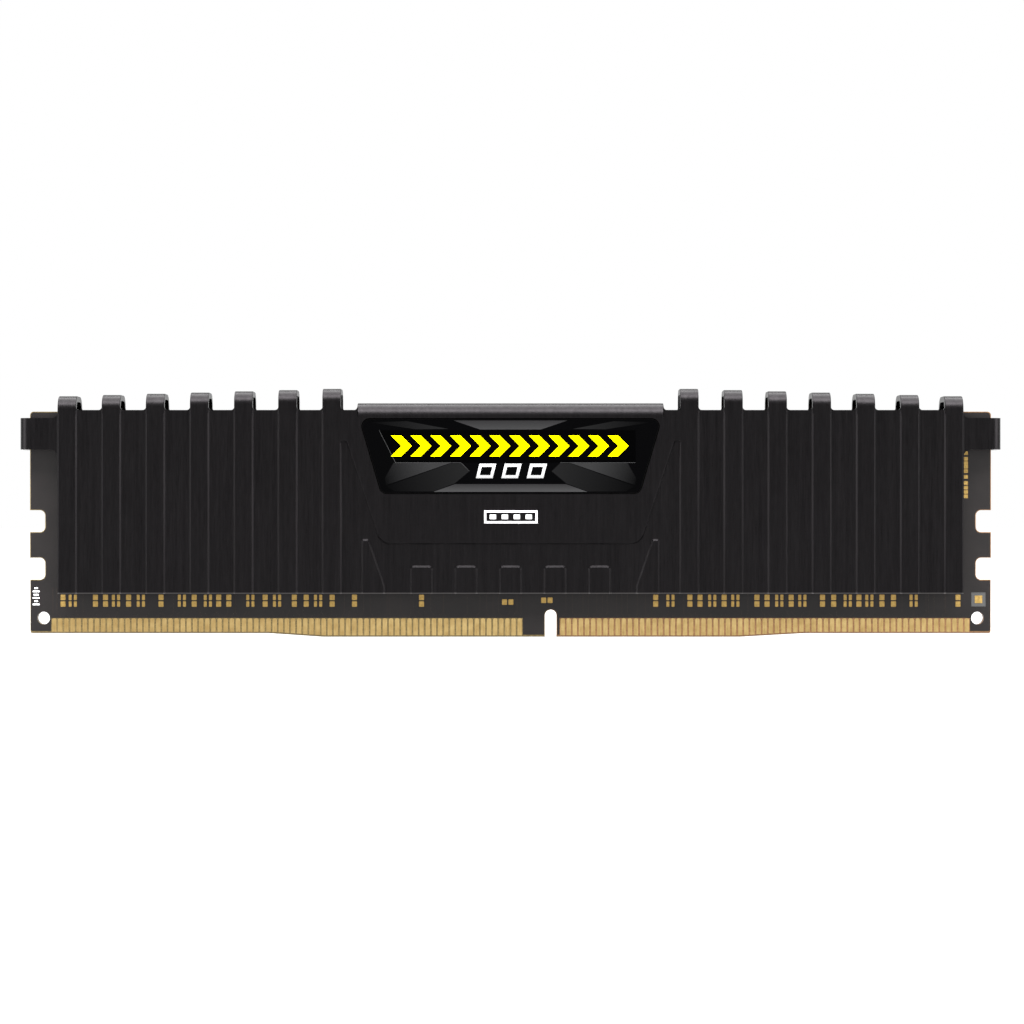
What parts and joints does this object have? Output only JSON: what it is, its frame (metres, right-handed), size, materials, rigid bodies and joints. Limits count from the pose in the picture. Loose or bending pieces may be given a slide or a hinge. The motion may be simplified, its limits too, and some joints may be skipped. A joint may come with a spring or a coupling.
{
  "type": "ram module",
  "caption": "Memory module: a thin contact-edged circuit board between two pressed, black heat spreader plates with bent-over tabs and a centre badge.",
  "frame": {"origin": "middle of the board's insertion edge, on the board's mid-plane", "axes": "+X along the module to the right seen from the front, -Y out of the badge side, +Z away from the socket"},
  "size_m": [0.1356, 0.007, 0.0344],
  "materials": {
    "laminate": "woven glass laminate, matt, olive brown at its cut edges",
    "solder_mask": "matt dark grey-brown coating with faint traces under it",
    "gold_plating": "hard gold plating, satin",
    "black_aluminium": "vertically brushed, black anodised sheet",
    "badge_print": "printed polyester film, semi-gloss",
    "label_paper": "coated film label, matt silver-grey",
    "spacer_foam": "closed-cell foam, matt",
    "thermal_tape": "filled silicone tape, matt",
    "chip_epoxy": "moulded epoxy, matt",
    "solder": "reflowed solder, satin",
    "bright_tin": "tin-plated terminals, satin",
    "capacitor_ceramic": "fired ceramic, matt tan",
    "resistor_glaze": "black glaze",
    "ink_yellow": "opaque yellow print",
    "ink_grey": "satin grey print",
    "ink_white": "opaque white print"
  },
  "bodies": {
    "root": {"capacitor_bodies": "capacitor_ceramic", "capacitor_terminals": "bright_tin", "configuration_memory": "chip_epoxy", "configuration_memory_lands": "bright_tin", "fiducial_pad": "gold_plating", "front_badge": "badge_print", "front_component_lands": "gold_plating", "front_edge_contacts": "gold_plating", "front_end_lands": "gold_plating", "front_foam_spacer": "spacer_foam", "front_heat_spreader": "black_aluminium", "front_solder_mask": "solder_mask", "memory_chip_1": "chip_epoxy", "memory_chip_1_balls": "solder", "memory_chip_2": "chip_epoxy", "memory_chip_2_balls": "solder", "memory_chip_3": "chip_epoxy", "memory_chip_3_balls": "solder", "memory_chip_4": "chip_epoxy", "memory_chip_4_balls": "solder", "memory_chip_5": "chip_epoxy", "memory_chip_5_balls": "solder", "memory_chip_6": "chip_epoxy", "memory_chip_6_balls": "solder", "memory_chip_7": "chip_epoxy", "memory_chip_7_balls": "solder", "memory_chip_8": "chip_epoxy", "memory_chip_8_balls": "solder", "pcb_core": "laminate", "rear_edge_contacts": "gold_plating", "rear_heat_spreader": "black_aluminium", "rear_label": "label_paper", "rear_solder_mask": "solder_mask", "rear_thermal_tape": "thermal_tape", "resistor_array_bodies": "resistor_glaze", "resistor_array_terminals": "bright_tin", "termination_resistor_bodies": "resistor_glaze", "termination_resistor_terminals": "bright_tin"}
  },
  "joints": []
}
